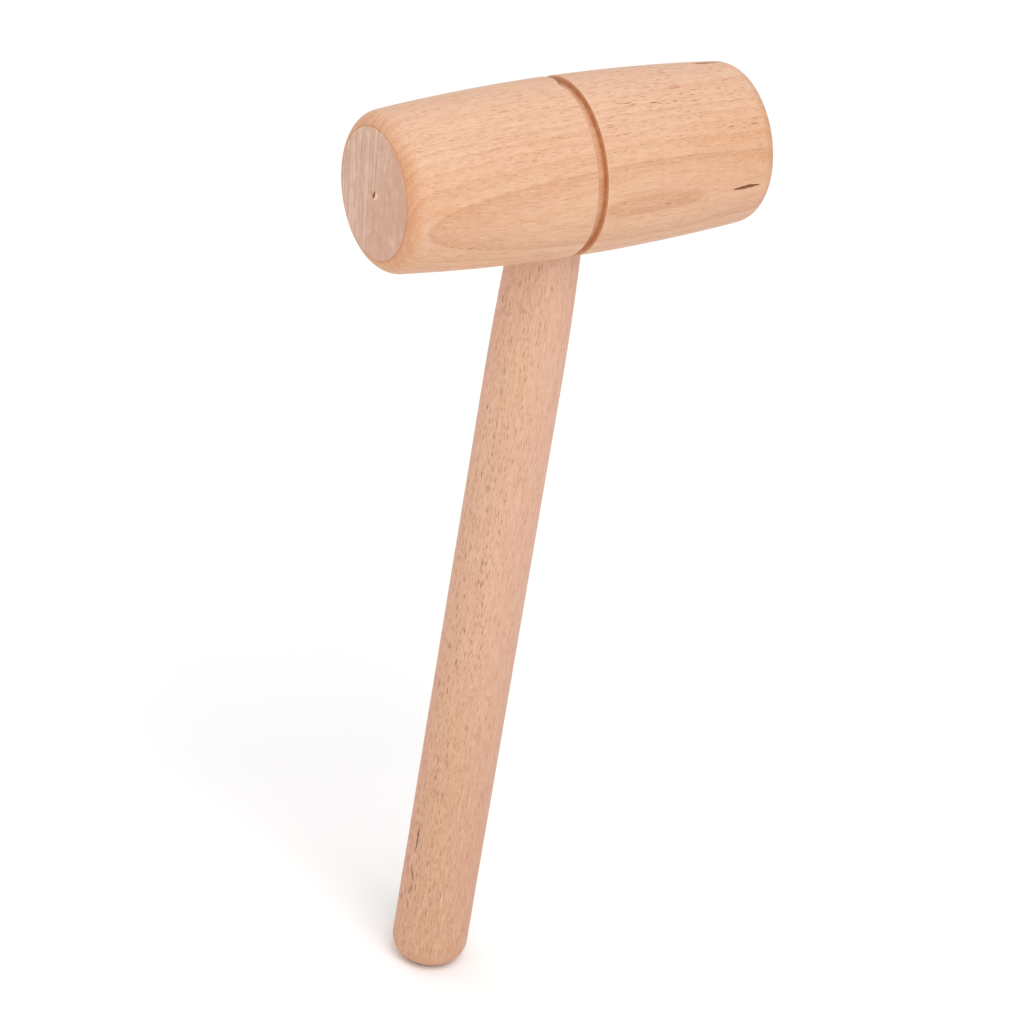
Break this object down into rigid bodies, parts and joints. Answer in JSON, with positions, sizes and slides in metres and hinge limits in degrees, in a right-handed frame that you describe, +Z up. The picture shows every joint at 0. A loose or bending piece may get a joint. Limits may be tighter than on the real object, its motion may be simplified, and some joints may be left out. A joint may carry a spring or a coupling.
{
  "type": "wooden mallet",
  "caption": "Carpenter's mallet: turned barrel head with a groove round its middle, glued and wedged onto a round dowel handle.",
  "frame": {"origin": "centre of the handle's butt end, which is the mallet's lowest point with the handle upright", "axes": "+Z up the handle to the head, +X along the head's length from one striking face to the other, +Y across the head"},
  "size_m": [0.138, 0.06, 0.3525],
  "materials": {
    "head_beech": "turned, sanded, unvarnished; end faces as sawn",
    "handle_beech": "turned, sanded, unvarnished",
    "wedge_beech": "sawn",
    "dried_glue": "dried wood glue"
  },
  "bodies": {
    "root": {"head": "head_beech", "handle": "handle_beech", "fox_wedge": "wedge_beech", "glue_line": "dried_glue"}
  },
  "joints": []
}
